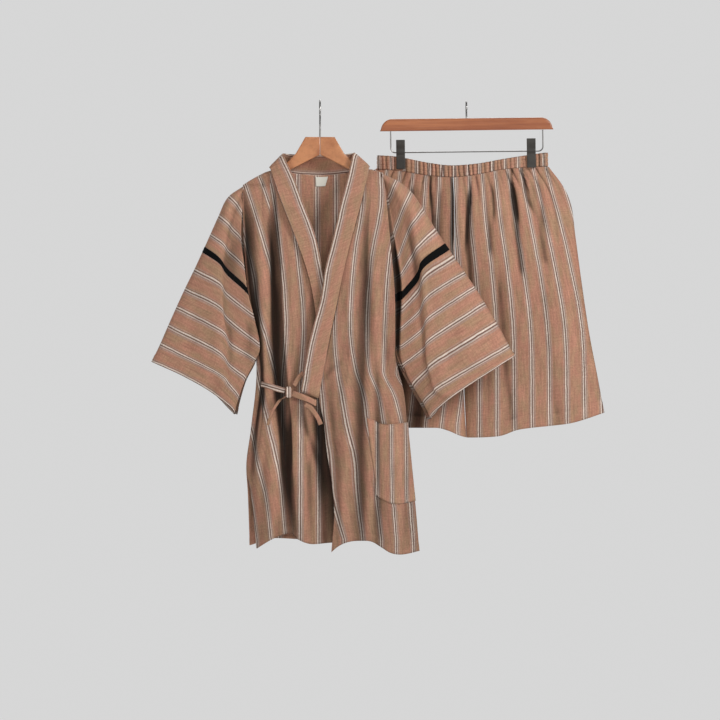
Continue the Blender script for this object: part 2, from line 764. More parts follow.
LEFT_SLEEVE_STRIPES = ((0, 0), (11, 11))  # row, stripe group
RIGHT_SLEEVE_STRIPES = ((0, 0), (4, 4), (5.43, 5), (6, 6), (11, 11))


def value_noise(x, z, size_x, size_z, seed):
    """Soft noise from -1 to 1 with patches of about size_x by size_z."""
    lattice = np.random.RandomState(seed).uniform(-1.0, 1.0, (64, 64))
    u, v = x / size_x + 17.3, z / size_z + 31.7
    i, j = np.floor(u).astype(int), np.floor(v).astype(int)
    f, g = smooth_step(u - i), smooth_step(v - j)
    near, far = i % 64, (i + 1) % 64
    low, high = j % 64, (j + 1) % 64
    bottom = lattice[near, low] * (1 - f) + lattice[far, low] * f
    top = lattice[near, high] * (1 - f) + lattice[far, high] * f
    return bottom * (1 - g) + top * g


def crease_rise(creases, x, z):
    """Soft ridges (or troughs, where rise is negative) along bowed lines that fade at both ends."""
    rise = np.zeros_like(x)
    for x_from, z_from, x_to, z_to, bow, height, half_width in creases:
        length = math.hypot(x_to - x_from, z_to - z_from)
        along = np.array([(x_to - x_from) / length, (z_to - z_from) / length])
        f = ((x - x_from) * along[0] + (z - z_from) * along[1]) / length
        off = -(x - x_from) * along[1] + (z - z_from) * along[0] - bow * 4 * f * (1 - f)
        fade = smooth_step(f / 0.35) * smooth_step((1 - f) / 0.4)
        rise = rise + height * fade * np.exp(-((off / half_width) ** 2))
    return rise


def stripe_number(table, x, z):
    """Which stripe group lies at x, z: a whole number is the middle of one."""
    return (x - column(table, 1, z)) / column(table, 2, z)


def normals_of(points):
    down, across = np.gradient(points, axis=0), np.gradient(points, axis=1)
    normal = np.cross(across, down)
    return normal / np.maximum(np.linalg.norm(normal, axis=-1, keepdims=True), 1e-9)


def pushed(points, rise, side=-1, columns=slice(None)):
    """The points of a sheet moved by `rise` out of its face: side -1 is the face that looks towards the
    viewer on those columns, side 1 the other."""
    normal = normals_of(points)
    facing = np.sign(np.mean(normal[:, columns, 1])) or 1.0
    return points + normal * facing * side * np.asarray(rise)[..., None]


def arc_length(points, axis):
    """Distance along the grid lines, from the first point of each."""
    steps = np.linalg.norm(np.diff(points, axis=axis), axis=-1)
    total = np.cumsum(steps, axis=axis)
    return np.concatenate([np.zeros_like(np.take(total, [0], axis=axis)), total], axis=axis)


def shadow_in(tables, x, z):
    """Shade where the cloth lies deep in a fold: from a sharp line it fades out over a width to its left, or
    to its right where the width is negative. A negative amount lightens."""
    total = np.zeros_like(x)
    for table in tables:
        line, width, amount = (column(table, index, z) for index in (1, 2, 3))
        off = (line - x) / width
        total = total + amount * np.exp(-((off / np.where(off > 0, 0.75, 0.12)) ** 2))
    return total


def blurred(values, reach, axis):
    """Running mean along an axis over 2 * reach + 1 points, level past the ends."""
    width = [(0, 0)] * values.ndim
    width[axis] = (reach, reach)
    total = np.cumsum(np.pad(values, width, mode="edge"), axis=axis)
    zero = np.zeros_like(np.take(total, [0], axis=axis))
    total = np.concatenate([zero, total], axis=axis)
    count = 2 * reach + 1
    high = np.take(total, range(count, total.shape[axis]), axis=axis)
    low = np.take(total, range(total.shape[axis] - count), axis=axis)
    return (high - low) / count


def relief_of(points, side, columns):
    """How far each point stands out of (positive) or lies in (negative) the cloth around it, from -1 to 1."""
    across = arc_length(points, 1)[:, -1].mean() / (points.shape[1] - 1)
    down = arc_length(points, 0)[-1].mean() / (points.shape[0] - 1)
    smooth = points
    for step, axis in ((across, 1), (down, 0)):
        count = int(np.clip(round(RELIEF_REACH / step), 1, points.shape[axis] // 3 + 1))
        smooth = blurred(blurred(smooth, count, axis), count, axis)
    normal = normals_of(points)
    facing = np.sign(np.mean(normal[:, columns, 1])) or 1.0
    out = np.sum((points - smooth) * normal * facing * side, axis=-1)
    return np.clip(out / RELIEF_DEPTH, -1.0, 1.0)


def in_scene(name, data):
    obj = bpy.data.objects.new(name, data)
    bpy.context.scene.collection.objects.link(obj)
    return obj


def add_wall(obj, thickness):
    wall = obj.modifiers.new("wall", "SOLIDIFY")
    wall.thickness = thickness * MM
    wall.offset = 0.0


def stand_for(obj, node):
    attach(obj, "root")
    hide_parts(node)


def cloth_piece(name, points, u, v, thickness, material, node, held="hung", closed=False,
                slot="striped_cotton", side=-1, columns=slice(None), shade=0.0, contrast=1.0):
    """Its relief, which the material darkens, is the cloth's own times `contrast`, less `shade`."""
    mesh = bpy.data.meshes.new(name)
    faces = grid_faces(*points.shape[:2], closed)
    mesh.from_pydata([tuple(p) for p in points.reshape(-1, 3) * MM], [], faces)
    pairs = np.stack([u, v], axis=-1).reshape(-1, 2)
    mesh.uv_layers.new(name="cloth").data.foreach_set("uv", pairs[np.array(faces).reshape(-1)].reshape(-1))
    relief = mesh.attributes.new("relief", "FLOAT", "POINT")
    depth = np.clip(np.minimum(contrast * relief_of(points, side, columns), 0.6) - shade, -1.0, 1.0)
    relief.data.foreach_set("value", depth.reshape(-1))
    mesh.shade_smooth()
    mesh.materials.append(material)
    obj = in_scene(name, mesh)
    add_wall(obj, thickness)
    stand_for(obj, node)


# Creases placed by hand: from x, z to x, z, the bow of the line between, the rise and the half width
UNDER_CREASES = (
    (-62, -230, -52, -560, 4, 2.2, 9),
    (-108, -250, -112, -520, 3, 2.4, 9),
    (-130, -300, -122, -570, -3, -2.2, 7),
    (-119, -577, -146, -770, -5, -5.0, 7),
    (-112, -585, -128, -880, -3, 3.6, 8),
    (-116, -572, -140, -455, 4, -3.2, 6),
    (-104, -574, -112, -430, -2, -2.4, 6),
    (-60, -600, -66, -800, 2, -3.0, 7),
    (-48, -606, -34, -850, 3, 2.6, 8),
    (-40, -596, 6, -760, -6, -2.6, 7),
    (-92, -600, -88, -860, 2, 2.4, 8),
    (-20, -690, -18, -905, 0, -3.0, 8),
)
OVER_CREASES = (
    (70, -230, 62, -520, -4, 1.8, 9),
    (92, -240, 96, -600, 4, -2.6, 8),
    (122, -330, 128, -650, -3, 2.2, 9),
    (40, -420, 34, -760, -5, 2.8, 9),
    (22, -560, 46, -890, -4, -3.2, 8),
    (2, -600, 30, -820, 6, 3.0, 8),
    (70, -560, 66, -900, 3, 1.2, 9),
    (86, -600, 84, -910, 2, -1.2, 9),
    (104, -600, 108, -850, 2, 1.6, 9),
    (150, -560, 172, -900, 4, 3.0, 10),
    (168, -700, 178, -915, 2, -3.2, 9),
    (40, -760, 52, -905, 2, 3.2, 9),
    (-10, -590, 60, -520, 6, -1.8, 7),
)
BACK_CREASES = (
    (-70, -190, -78, -520, 5, -3.0, 11),
    (64, -190, 70, -480, -5, -2.6, 11),
    (-20, -260, -16, -640, 3, 2.4, 14),
    (-110, -420, -118, -860, -4, -3.4, 11),
    (20, -540, 28, -890, 3, -3.0, 12),
    (-52, -600, -60, -895, -2, 3.2, 12),
    (96, -520, 100, -880, 3, 3.0, 11),
    (150, -620, 166, -900, 3, -3.0, 10),
    (-130, -330, -90, -450, 6, -2.2, 9),
    (128, -330, 90, -460, -6, -2.2, 9),
)
LEFT_SLEEVE_CREASES = (
    (-182, -205, -192, -345, 5, 2.0, 11),
    (-166, -250, -172, -400, -4, -1.2, 10),
    (-205, -420, -214, -570, 4, 2.4, 9),
    (-184, -430, -182, -560, 3, -2.8, 8),
    (-262, -390, -300, -520, 4, 1.6, 12),
    (-236, -330, -262, -560, -5, -1.8, 11),
    (-150, -330, -132, -460, 4, 2.2, 7),
    (-140, -430, -150, -540, 3, -2.2, 7),
)
RIGHT_SLEEVE_CREASES = (
    (190, -195, 203, -330, -5, 3.2, 8),
    (176, -240, 190, -400, 4, -3.8, 8),
    (212, -340, 232, -470, -5, 2.6, 8),
    (196, -400, 214, -560, 4, -3.2, 8),
    (248, -480, 262, -590, -3, 2.4, 8),
    (290, -360, 322, -540, -5, 1.8, 13),
    (262, -330, 292, -560, 5, -1.8, 12),
    (168, -320, 166, -460, -4, 2.2, 8),
    (330, -440, 360, -540, 3, -1.4, 11),
)
SHORTS_CREASES = (
    (273, -152, 272, -318, 1, -5.5, 5),
    (311, -152, 297, -345, -2, -3.6, 5),
    (226, -158, 233, -280, 2, -5.0, 5),
    (392, -150, 408, -256, -3, -5.0, 5.5),
    (414, -146, 440, -236, -3, -4.6, 6),
    (448, -140, 470, -300, -4, -3.8, 7),
    (350, -152, 356, -262, 2, -4.2, 5),
    (186, -150, 176, -262, 3, -4.6, 6),
    (150, -146, 134, -240, 3, -4.2, 6),
    (382, -300, 402, -650, -4, 3.0, 11),
    (430, -330, 462, -640, -5, -2.6, 12),
    (340, -400, 344, -675, 2, -3.2, 10),
    (492, -300, 530, -640, 4, 2.6, 12),
    (320, -420, 318, -680, -2, 2.6, 9),
    (216, -380, 206, -650, 3, 2.8, 11),
    (160, -330, 132, -640, 5, -2.8, 12),
    (100, -300, 66, -630, -4, 2.6, 12),
)


def fractions(count, bend=1.0):
    """Fractions from 0 to 1; a bend over 1 brings them closer together near 0."""
    return np.linspace(0.0, 1.0, count) ** bend


def ripples(x, z, seed):
    """Small unevenness of cloth that hangs: long up and down, short across."""
    return 0.55 * value_noise(x, z, 16.0, 90.0, seed) + 0.28 * value_noise(x, z, 7.0, 34.0, seed + 1)


def hem_rise(distance, width, depth=0.55):
    """A turned-up hem: thicker to its stitch line, with a small groove there."""
    step = depth * (1.0 - smooth_step((distance - width) / 2.0))
    return step - 0.75 * np.exp(-(((distance - width) / 1.3) ** 2))


def panel_sheet(name, spec, across, down, creases, seed, stripes, deeps, contrasts, node):
    """A body panel at full detail. Returns its points."""
    points = panel_points(spec, across, down)
    x, z = points[..., 0].copy(), points[..., 2].copy()
    from_left, from_right = x - x[:, :1], x[:, -1:] - x
    clear_of_top = smooth_step((z[:1] - z) / 45.0)
    rise = (crease_rise(creases, x, z) + ripples(x, z, seed)) * spec["sewn"](from_left, from_right)
    rise = (rise + hem_rise(z - z[-1:], JACKET_HEM_WIDTH)) * clear_of_top
    points = pushed(points, rise, spec["side"])
    clear_of_edges = smooth_step(np.minimum(from_left, from_right) / 16.0)
    contrast = column(contrasts, 1, z) * clear_of_edges
    cloth_piece(name, points, stripes(x, z), arc_length(points, 0) / REPEAT, CLOTH, STRIPED, node,
                side=spec["side"], shade=shadow_in(deeps, x, z), contrast=contrast)
    return points


# Materials

CLOTH_TAN, CLOTH_PINK, CLOTH_OLIVE = (0.41, 0.228, 0.150), (0.45, 0.212, 0.146), (0.37, 0.228, 0.136)
STRIPES = (
    # across one repeat: from, to, colour, how much of it shows
    (0.290, 0.290, (0.42, 0.33, 0.29), 0.0),
    (0.315, 0.335, (0.42, 0.33, 0.29), 0.5),
    (0.355, 0.385, (0.17, 0.09, 0.07), 0.6),
    (0.405, 0.455, (0.70, 0.60, 0.52), 1.0),
    (0.475, 0.515, (0.11, 0.06, 0.05), 0.95),
    (0.535, 0.575, (0.56, 0.47, 0.41), 0.95),
    (0.600, 0.600, (0.22, 0.12, 0.09), 0.6),
    (0.635, 0.670, (0.40, 0.31, 0.28), 0.5),
    (0.700, 0.700, (0.40, 0.30, 0.24), 0.0),
)


class Graph:
    """A material and short ways to add nodes to it. An input's name is written with _ for each space."""

    def __init__(self, name, **inputs):
        self.material = bpy.data.materials.new(name)
        self.material.use_nodes = True
        self.tree = self.material.node_tree
        self.shader = self.tree.nodes["Principled BSDF"]
        self.fill(self.shader, **inputs)

    def join(self, value, socket):
        if isinstance(value, bpy.types.NodeSocket):
            self.tree.links.new(value, socket)
        elif value is not None:
            socket.default_value = value

    def fill(self, node, **inputs):
        for name, value in inputs.items():
            self.join(value, node.inputs[name.replace("_", " ")])
        return node

    def node(self, kind, **inputs):
        return self.fill(self.tree.nodes.new("ShaderNode" + kind), **inputs)

    def math(self, operation, a, b=None):
        node = self.node("Math")
        node.operation = operation
        self.join(a, node.inputs[0])
        self.join(b, node.inputs[1])
        return node.outputs[0]

    def mix(self, blend, factor, a, b):
        node = self.node("Mix")
        node.data_type = "RGBA"
        node.blend_type = blend
        self.join(factor, node.inputs[0])
        for colour, socket in ((a, node.inputs[6]), (b, node.inputs[7])):
            self.join(colour if isinstance(colour, bpy.types.NodeSocket) else (*colour, 1.0), socket)
        return node.outputs[2]

    def noise(self, vector, scale, detail=3.0, roughness=0.55):
        node = self.node("TexNoise", Vector=vector, Scale=scale, Detail=detail, Roughness=roughness)
        return node.outputs["Fac"]

    def drawn_out(self, vector, scales, detail=3.0, roughness=0.55):
        """Noise at a scale of its own along each axis."""
        vector = self.node("Mapping", Vector=vector, Scale=scales).outputs["Vector"]
        return self.noise(vector, 1.0, detail, roughness)

    def spread(self, value, low, high, to_low=0.0, to_high=1.0):
        node = self.node("MapRange", Value=value, From_Min=low, From_Max=high, To_Min=to_low, To_Max=to_high)
        return node.outputs["Result"]

    def bump(self, height, strength, distance, under=None):
        node = self.node("Bump", Height=height, Strength=strength, Distance=distance, Normal=under)
        return node.outputs["Normal"]

    def cloth_map(self):
        node = self.node("UVMap")
        node.uv_map = "cloth"
        return node.outputs["UV"]

    def object_place(self):
        return self.node("TexCoord").outputs["Object"]

    def finish(self, colour, normal=None, roughness=None):
        self.fill(self.shader, Base_Color=colour, Normal=normal, Roughness=roughness)
        return self.material


def cloth_graph(name, roughness, specular, weight, tint):
    """The start of a cloth's material: nearly matt, with a faint sheen."""
    return Graph(name, Roughness=roughness, Specular_IOR_Level=specular, Sheen_Weight=weight,
                 Sheen_Roughness=0.5, Sheen_Tint=(*tint, 1.0))


def striped_cloth(name, warp_along=True):
    """Slubby chambray with the woven stripe groups; warp_along is false where slubs run across the piece."""
    graph = cloth_graph(name, 0.88, 0.2, 0.10, (0.8, 0.66, 0.55))
    uv = graph.cloth_map()
    parts = graph.node("SeparateXYZ", Vector=uv)
    waver = graph.spread(graph.drawn_out(uv, (1.5, 1.2, 1.0)), 0.0, 1.0, -0.03, 0.03)
    place = graph.math("FRACT", graph.math("ADD", graph.math("ADD", parts.outputs[0], waver), 0.5))
    ramp = graph.node("ValToRGB", Fac=place)
    stops = ramp.color_ramp.elements
    stops.remove(stops[1])
    first = stops[0]
    for start, end, colour, amount in STRIPES:
        for position in sorted({start, end}):
            stop = first or stops.new(position)
            stop.position, stop.color = position, (*colour, amount)
            first = None
    along, across = ((9.0, 0.9, 1.0), (1.6, 17.0, 1.0)) if warp_along else ((1.2, 17.0, 1.0), (9.0, 1.2, 1.0))
    streaks, slubs = graph.drawn_out(uv, along, 4.0, 0.65), graph.drawn_out(uv, across, 3.0, 0.6)
    patches, speckle = graph.drawn_out(uv, (2.1, 0.8, 1.0)), graph.drawn_out(uv, (13.0, 11.0, 1.0), 2.0)
    base = graph.mix("MIX", graph.spread(patches, 0.36, 0.62), CLOTH_OLIVE, CLOTH_PINK)
    base = graph.mix("MIX", 0.25, base, CLOTH_TAN)
    shows = graph.math("MULTIPLY", ramp.outputs["Alpha"], 0.88)
    striped = graph.mix("MIX", shows, base, ramp.outputs["Color"])
    thread = graph.spread(streaks, 0.3, 0.7, 0.80, 1.16)
    thread = graph.math("MULTIPLY", thread, graph.spread(slubs, 0.3, 0.7, 0.90, 1.09))
    thread = graph.math("MULTIPLY", thread, graph.spread(speckle, 0.3, 0.7, 0.88, 1.12))
    relief = graph.node("Attribute")
    relief.attribute_name = "relief"
    depth = graph.node("FloatCurve", Value=graph.spread(relief.outputs["Fac"], -1.0, 1.0))
    points = depth.mapping.curves[0].points
    points[0].location, points[1].location = (0.0, 0.06), (1.0, 0.93)
    points.new(0.25, 0.33)
    points.new(0.5, 0.80)
    depth.mapping.update()
    toned = graph.node("VectorMath")
    toned.operation = "SCALE"
    tone = graph.math("MULTIPLY", thread, graph.math("MULTIPLY", depth.outputs[0], 1.2))
    graph.join(striped, toned.inputs[0])
    graph.join(tone, toned.inputs["Scale"])
    threads = [graph.math("SINE", graph.math("MULTIPLY", parts.outputs[axis], 350.0)) for axis in (0, 1)]
    fine = graph.bump(graph.math("ADD", *threads), 0.12, 0.0002)
    return graph.finish(toned.outputs[0], graph.bump(graph.math("ADD", streaks, slubs), 0.35, 0.0008, fine))


def plain_cloth(name, colour, contrast):
    graph = cloth_graph(name, 0.85, 0.12, 0.03, (0.7, 0.7, 0.7))
    ribs = graph.drawn_out(graph.cloth_map(), (60.0, 14.0, 1.0))
    shade = graph.mix("MIX", ribs, [c * (1 - contrast) for c in colour], [c * (1 + contrast) for c in colour])
    return graph.finish(shade, graph.bump(ribs, 0.3, 0.0004))


def varnished_wood(name, colour, dark, along=(3.0, 60.0, 60.0)):
    """Wood under a satin varnish; `along` stretches the grain along the piece."""
    graph = Graph(name, Roughness=0.38, Coat_Weight=0.35, Coat_Roughness=0.25)
    place = graph.object_place()
    grain = graph.drawn_out(place, along, 6.0, 0.65)
    pores = graph.drawn_out(place, [c * 7.0 for c in along], 2.0)
    clouds = graph.noise(place, 14.0, 2.0)
    shade = graph.mix("MIX", graph.spread(grain, 0.38, 0.62), colour, dark)
    shade = graph.mix("MULTIPLY", graph.spread(pores, 0.55, 0.75, 0.0, 0.35), shade, (0.5, 0.4, 0.35))
    shade = graph.mix("MULTIPLY", graph.spread(clouds, 0.4, 0.7, 0.0, 0.3), shade, (0.75, 0.6, 0.5))
    return graph.finish(shade, graph.bump(grain, 0.15, 0.0004))


def drawn_steel(name):
    graph = Graph(name, Metallic=1.0)
    scratches = graph.drawn_out(graph.object_place(), (900.0, 900.0, 60.0), 2.0)
    shade = graph.mix("MIX", scratches, (0.16, 0.155, 0.15), (0.3, 0.29, 0.28))
    return graph.finish(shade, None, graph.spread(scratches, 0.2, 0.8, 0.28, 0.45))


def dark_plastic(name):
    graph = Graph(name)
    pits, dust = graph.noise(graph.object_place(), 700.0, 2.0), graph.noise(graph.object_place(), 60.0, 3.0)
    shade = graph.mix("MIX", graph.spread(dust, 0.35, 0.7), (0.032, 0.028, 0.024), (0.05, 0.045, 0.038))
    return graph.finish(shade, graph.bump(pits, 0.2, 0.0002), graph.spread(dust, 0.3, 0.7, 0.42, 0.6))


# Jacket

TIGHT_TOP = 1.3  # rows of a panel are closer together near the shoulder
JACKET_HEM_WIDTH, SLEEVE_HEM_WIDTH, SHORTS_HEM_WIDTH, POCKET_HEM_WIDTH = 15.0, 18.0, 24.0, 20.0


def under_stripes(x, z):
    """The deep fold takes in some of the cloth, so the stripes on its two sides don't run on."""
    z_top, x_top, x_mid, z_low, x_low = UNDER_FOLDS[0][:5]
    f = np.clip((z - z_top) / (z_low - z_top), 0.0, 1.0)
    line = bowed_line(f, x_top, x_mid, x_low)
    left, right = stripe_number(UNDER_LEFT_STRIPES, x, z), stripe_number(UNDER_RIGHT_STRIPES, x, z)
    return np.where(x < line, left, right)


def over_stripes(x, z):
    """As stripe_number, from the places of several groups at each height."""
    places = [column(OVER_STRIPES, index, z) for index in range(1, len(OVER_STRIPES[0]))]
    number = (x - places[0]) / (places[1] - places[0])
    for index in range(1, len(places) - 1):
        beyond = (x - places[index]) / (places[index + 1] - places[index])
        number = np.where(beyond > 0, index + beyond, number)
    return number


def back_stripes(x, z):
    return stripe_number(BACK_STRIPES, x, z)


def make_body():
    down = fractions(170, TIGHT_TOP)
    over_down = np.concatenate([
        POCKET_TOP * fractions(110, TIGHT_TOP),
        np.linspace(POCKET_TOP, POCKET_FOOT, 36)[1:],
        np.linspace(POCKET_FOOT, 1.0, 24)[1:],
    ])
    over_across = np.concatenate([np.linspace(0.0, POCKET_EDGE, 66), np.linspace(POCKET_EDGE, 1.0, 60)[1:]])
    panel_sheet("under_front", JACKET_UNDER, fractions(130), down, UNDER_CREASES, 11, under_stripes,
                UNDER_DEEPS, UNDER_CONTRAST, "jacket_front_under")
    over = panel_sheet("over_front", JACKET_OVER, over_across, over_down, OVER_CREASES, 23, over_stripes,
                       OVER_DEEPS, OVER_CONTRAST, "jacket_front_over")
    panel_sheet("back", JACKET_BACK, fractions(170), down, BACK_CREASES, 37, back_stripes,
                BACK_DEEPS, BACK_CONTRAST, "jacket_back")
    make_pocket(over, over_down, over_across)


def make_pocket(over, over_down, over_across):
    """The patch is made from the over front's own points, moved out; its mouth stands a little proud."""
    rows = (over_down > POCKET_TOP - 0.001) & (over_down < POCKET_FOOT + 0.001)
    patch = over[rows][:, over_across > POCKET_EDGE - 0.001]
    s, t = np.meshgrid(np.linspace(0, 1, patch.shape[1]), np.linspace(0, 1, patch.shape[0]))
    height = arc_length(patch, 0)
    sag = 1.6 * np.sin(np.pi * s) * (1 - t) ** 2
    rolled = 0.9 * smooth_step(np.minimum(np.minimum(s, 1 - s) * 90, (1 - t) * 150) / 3.0)
    points = pushed(patch, CLOTH + 0.1 + sag + rolled + hem_rise(height, POCKET_HEM_WIDTH, 0.5))
    u = stripe_number(POCKET_STRIPES, points[..., 0], points[..., 2])
    hollow = 0.1 * np.exp(-(((s - 0.28) / 0.3) ** 2))
    under_mouth = 0.4 * np.exp(-(((height - 1.0) / 1.5) ** 2)) * (s < 0.5)
    cloth_piece("patch_pocket", points, u, height / REPEAT + 0.4, CLOTH, STRIPED, "pocket",
                shade=0.12 + hollow + under_mouth)


def make_collar():
    rows = np.array(COLLAR_ROWS, float)
    numbers, at = np.arange(len(rows)), np.linspace(0, len(rows) - 1, 330)
    smooth = np.stack([curve_through(numbers, rows[:, k], at) for k in range(6)], axis=-1)
    seam, free = smooth[:, :3], smooth[:, 3:]
    across = np.linspace(0.0, 1.0, 22)
    points = seam[:, None] + (free - seam)[:, None] * across[None, :, None]
    w = np.broadcast_to(across, points.shape[:2])
    along = arc_length(points, 0)
    width = np.linalg.norm(free - seam, axis=1)[:, None]
    sewn_edge = np.exp(-(((w * width - 3.0) / 1.3) ** 2))
    crown = 0.9 * (1 - (2 * w - 1) ** 4) - 0.5 * sewn_edge
    crown = crown + 0.35 * value_noise(along, w * 35, 26.0, 22.0, 71) * np.sin(np.pi * w)
    points = pushed(points, crown)
    inside = smooth_step((seam[:, 1:2] + 2.0) / 6.0)
    from_stripes = (1 - inside) * ((1 - w) * width - 7.0) + inside * (w * width - 6.0)
    u, v = from_stripes / REPEAT, along / REPEAT
    lit_seam = 0.3 * np.exp(-(((w * width - 1.5) / 2.0) ** 2))
    cloth_piece("neckband", points, u, v, BAND_CLOTH, CROSS_STRIPED, "collar", shade=-lit_seam)


def sleeve_creases(creases, points, places, seed):
    x, z = points[..., 0], points[..., 2]
    both = np.concatenate([places[::-1], places[1:]])
    free = smooth_step(both / 0.5) * smooth_step((5.0 - both) / 1.2)
    return (crease_rise(creases, x, z) + 0.9 * ripples(x, z, seed)) * free[None, :]


def armhole_valley(points, places, at, valley, outward):
    """Beside the body the front layer turns in: its brim stands off and the cloth between goes deep. Returns
    how much of each point lies in that valley."""
    front = np.where(np.arange(points.shape[1]) < len(places), 1.0, 0.0)
    place = np.concatenate([places[::-1], places[1:]])
    amount = column(valley, 1, at)[:, None]
    points[..., 0] += outward * 6.5 * amount * front * np.exp(-(((place - 3.0) / 1.0) ** 2))
    inside = front * np.exp(-(((place - 4.15) / 0.62) ** 4))
    points[..., 1] += 17.0 * amount * inside
    points[..., 0] -= outward * 5.0 * front * smooth_step(place - 4.0)
    first = 1.0 - smooth_step(at / 1.5)[:, None]
    points[..., 0] -= outward * 5.0 * first
    turned_in = front * smooth_step(place - 3.5) * smooth_step(at / 1.2)[:, None]
    return np.maximum(1.6 * amount * inside, 0.6 * turned_in)


def make_sleeve(side, rows, tape, underarm_row, depths, edges, stripes, creases, valley, seed):
    """Upper sleeve, tape and lower sleeve are stretches of one sheet, with the tape a little thicker."""
    last, row_height = len(rows) - 1, 38.0
    places = np.concatenate([[0.0, 0.02, 0.05, 0.09, 0.14, 0.2], np.arange(0.3, 5.01, 0.1)])
    stretches = (
        ("upper", np.linspace(0.0, tape[0], 64), CLOTH, STRIPED, "striped_cotton"),
        ("tape", np.linspace(tape[0], tape[1], 7), CLOTH + 0.9, BLACK_TAPE, "black_tape"),
        ("lower", np.linspace(tape[1], last, 110), CLOTH, STRIPED, "striped_cotton"),
    )
    for part, at, thickness, material, slot in stretches:
        points = sleeve_points(rows, *depths, *edges, underarm_row, at, places)
        rise = sleeve_creases(creases, points, places, seed) * smooth_step(at / 1.2)[:, None]
        if part == "lower":
            rise = rise + hem_rise((last - at) * row_height, SLEEVE_HEM_WIDTH)[:, None]
        front = slice(8, points.shape[1] // 3)
        points = pushed(points, rise, -1, front)
        dark = armhole_valley(points, places, at, valley, np.sign(rows[-1][0][0]))
        u = np.broadcast_to(column(stripes, 1, at)[:, None], points.shape[:2])
        v = arc_length(points, 1) / REPEAT
        cloth_piece(f"{part}_sleeve_{side}", points, u, v, thickness, material, f"sleeve_{part}_{side}",
                    slot=slot, columns=front, shade=dark + SLEEVE_TONES[side], contrast=0.5)


def make_ribbon(name, path, half_width, node, across=(0.0, 0.0, 1.0), seed=5, shift=0.5):
    """A flat tie along a path, as in the CAD source, with a soft crown and rumples. `shift` sets where on it
    the stripes lie: at 0.5 they fall outside it."""
    path, across = np.array(path, float), np.array(across)
    at = np.linspace(0, len(path) - 1, 70)
    path = np.stack([curve_through(range(len(path)), path[:, k], at) for k in range(3)], axis=-1)
    along = np.gradient(path, axis=0)
    along /= np.linalg.norm(along, axis=1, keepdims=True)
    width = across - along * (along @ across)[:, None]
    width /= np.linalg.norm(width, axis=1, keepdims=True)
    w = np.linspace(-1.0, 1.0, 13)
    half = half_width * (1 + 0.06 * np.sin(at * 2.3 + seed))
    points = path[:, None] + width[:, None] * (half[:, None] * w)[..., None]
    length = arc_length(points, 0)
    w = np.broadcast_to(w, points.shape[:2])
    rumple = 0.7 * (1 - w**2) + 0.5 * value_noise(length, w * half_width, 9.0, 5.0, seed)
    u, v = w * half_width / REPEAT + shift, length / REPEAT
    cloth_piece(name, pushed(points, rumple), u, v, TIE_CLOTH, STRIPED, node, held="draped",
                shade=0.06 + 0.3 * smooth_step((np.abs(w) - 0.7) / 0.3))


def squared_off(wave, power):
    """A sine or cosine raised to a power under 1, which squares a circle off towards its box."""
    return np.sign(wave) * np.abs(wave) ** power


def make_knot():
    """The band wrapped round the bow's middle: a barrel of cloth with its stripes upright."""
    turns = np.radians(np.arange(0, 360, 7.5))
    f = np.linspace(0.0, 1.0, 24)[:, None]
    pinch = 1 - 0.1 * np.exp(-(((f - 0.45) / 0.1) ** 2))
    swell = np.sqrt(np.maximum(1.0 - 0.86 * (2 * f - 1) ** 4, 0.0)) * pinch
    round_x, round_y = squared_off(np.cos(turns), 0.75), squared_off(np.sin(turns), 0.75)
    groove = 1 - 0.1 * np.exp(-((np.cos(turns) + 0.15) ** 2) / 0.02)
    x = KNOT_CENTRE[0] + 0.5 * KNOT_SIZE[0] * swell * round_x + 1.2 * (f - 0.5)
    y = KNOT_CENTRE[1] + 0.5 * KNOT_SIZE[1] * swell * round_y * groove
    z = KNOT_CENTRE[2] + 0.5 * KNOT_SIZE[2] * (1 - 2 * f) + 0 * x
    points = np.stack([x, y, z], axis=-1)
    u, v = (x - KNOT_CENTRE[0]) / REPEAT, (1 - f) * KNOT_SIZE[2] / REPEAT + 0 * x
    cloth_piece("knot_band", points, u, v, KNOT_CLOTH, STRIPED, "bow_knot", held="folded", closed=True)


def make_ties():
    make_ribbon("side_tie", SIDE_TIE_PATH, TIE_HALF_WIDTH, "tie_side", seed=3, shift=0.0)
    make_ribbon("over_tie", OVER_TIE_PATH, TIE_HALF_WIDTH * 0.8, "tie_over", (-0.7, 0.0, 0.7), 4)
    make_ribbon("loop_of_bow", LOOP_PATH, TIE_HALF_WIDTH, "bow_loop", seed=5)
    make_ribbon("right_tail", RIGHT_TAIL_PATH, TIE_HALF_WIDTH * 0.8, "tail_right", (1.0, 0.0, 0.3), 6)
    make_ribbon("left_tail", LEFT_TAIL_PATH, THIN_HALF_WIDTH, "tail_left", (1.0, 0.0, 0.6), 7)
    make_knot()


def make_label():
    points = panel_points(JACKET_BACK, np.linspace(*LABEL_ACROSS, 16), np.linspace(*LABEL_DOWN, 16))
    points[..., 0] -= np.outer(np.linspace(0.0, LABEL_SLANT, 16), np.linspace(0.0, 1.0, 16))
    points = pushed(points, np.full(points.shape[:2], LABEL_OUT))
    u, v = points[..., 0] / REPEAT, points[..., 2] / REPEAT
    cloth_piece("blank_label", points, u, v, LABEL_THICKNESS, LABEL_CLOTH, "neck_label", slot="label")


# Hangers and clips


